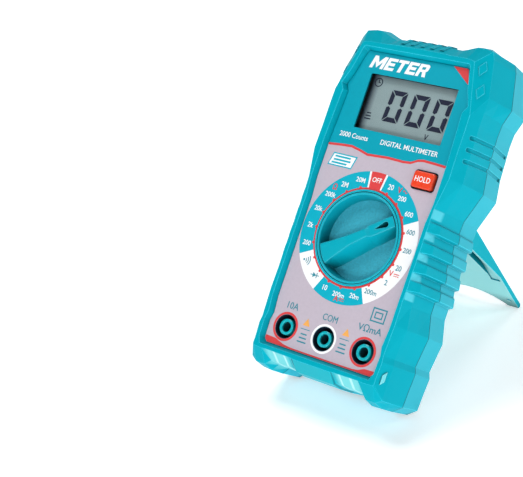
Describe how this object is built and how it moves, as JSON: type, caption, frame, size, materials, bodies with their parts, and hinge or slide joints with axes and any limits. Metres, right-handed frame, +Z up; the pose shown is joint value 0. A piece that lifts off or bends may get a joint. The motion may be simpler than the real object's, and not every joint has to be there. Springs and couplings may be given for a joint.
{
  "type": "handheld digital multimeter",
  "caption": "Handheld digital multimeter leaning on a fold-out tilt stand, with a rotary range switch, LCD, hold key and safety jacks.",
  "frame": {"origin": "centre of the bounding box on the ground, under the meter as it leans on its open stand", "axes": "+Z up, +X to the reader's right across the face, -Y towards the reader; the face looks towards -Y and up"},
  "size_m": [0.075, 0.116, 0.1287],
  "materials": {
    "teal_shell": "satin moulded ABS",
    "teal_knob": "satin moulded ABS",
    "panel_print": "printed polycarbonate overlay",
    "window": "clear polycarbonate lens",
    "lcd_cell": "polarised LCD cell",
    "red_key": "satin",
    "black_plastic": "moulded",
    "elastomer": "layered",
    "circuit_board": "solder mask",
    "brass": "bright",
    "bronze_spring": "satin",
    "spring_steel": "bright",
    "screw_steel": "zinc plated",
    "fuse_glass": "clear",
    "fuse_metal": "nickel plated",
    "resistor_body": "lacquered",
    "thermistor_body": "lacquered",
    "capacitor_sleeve": "sleeved",
    "battery_case": "printed steel can",
    "lead_wire": "insulated"
  },
  "bodies": {
    "case": {"front_shell": "teal_shell", "rear_shell": "teal_shell", "front_panel": "panel_print", "battery_door": "teal_shell", "hold_switch_body": "black_plastic", "lcd_window": "window", "lcd_glass": "lcd_cell", "lcd_bezel": "black_plastic", "zebra_strips": "elastomer", "main_pcb": "circuit_board", "jack_block": "teal_shell", "jack_socket_left": "brass", "jack_socket_centre": "brass", "jack_socket_right": "brass", "fuse_glass": "fuse_glass", "fuse_caps": "fuse_metal", "fuse_clips": "bronze_spring", "shunt_wire": "bronze_spring", "main_ic": "black_plastic", "capacitor": "capacitor_sleeve", "overload_thermistor": "thermistor_body", "resistors": "resistor_body", "buzzer": "black_plastic", "battery": "battery_case", "battery_snap": "black_plastic", "battery_leads": "lead_wire", "case_screws": "screw_steel", "pcb_screws": "screw_steel", "battery_door_screw": "screw_steel"},
    "selector": {"selector_knob": "teal_knob", "detent_balls": "spring_steel", "detent_springs": "spring_steel", "wiper_contacts": "bronze_spring"},
    "hold_key": {"hold_button": "red_key", "hold_switch_plunger": "black_plastic"},
    "stand": {"tilt_stand": "teal_shell"}
  },
  "joints": [
    {"name": "selector_turn", "type": "hinge", "parent": "case", "child": "selector", "pos_m": [0, -0.02276, 0.06545], "axis": [0, -0.7754, 0.6315], "continuous": true},
    {"name": "hold_press", "type": "slide", "parent": "case", "child": "hold_key", "axis": [0, 0.7754, -0.6315], "range_m": [0, 0.001], "stiffness_N_per_m": 400, "springref_m": -0.001},
    {"name": "stand_fold", "type": "hinge", "parent": "case", "child": "stand", "pos_m": [0, 0.01645, 0.06292], "axis": [-1, 0, 0], "range_deg": [0, 70.9]}
  ]
}
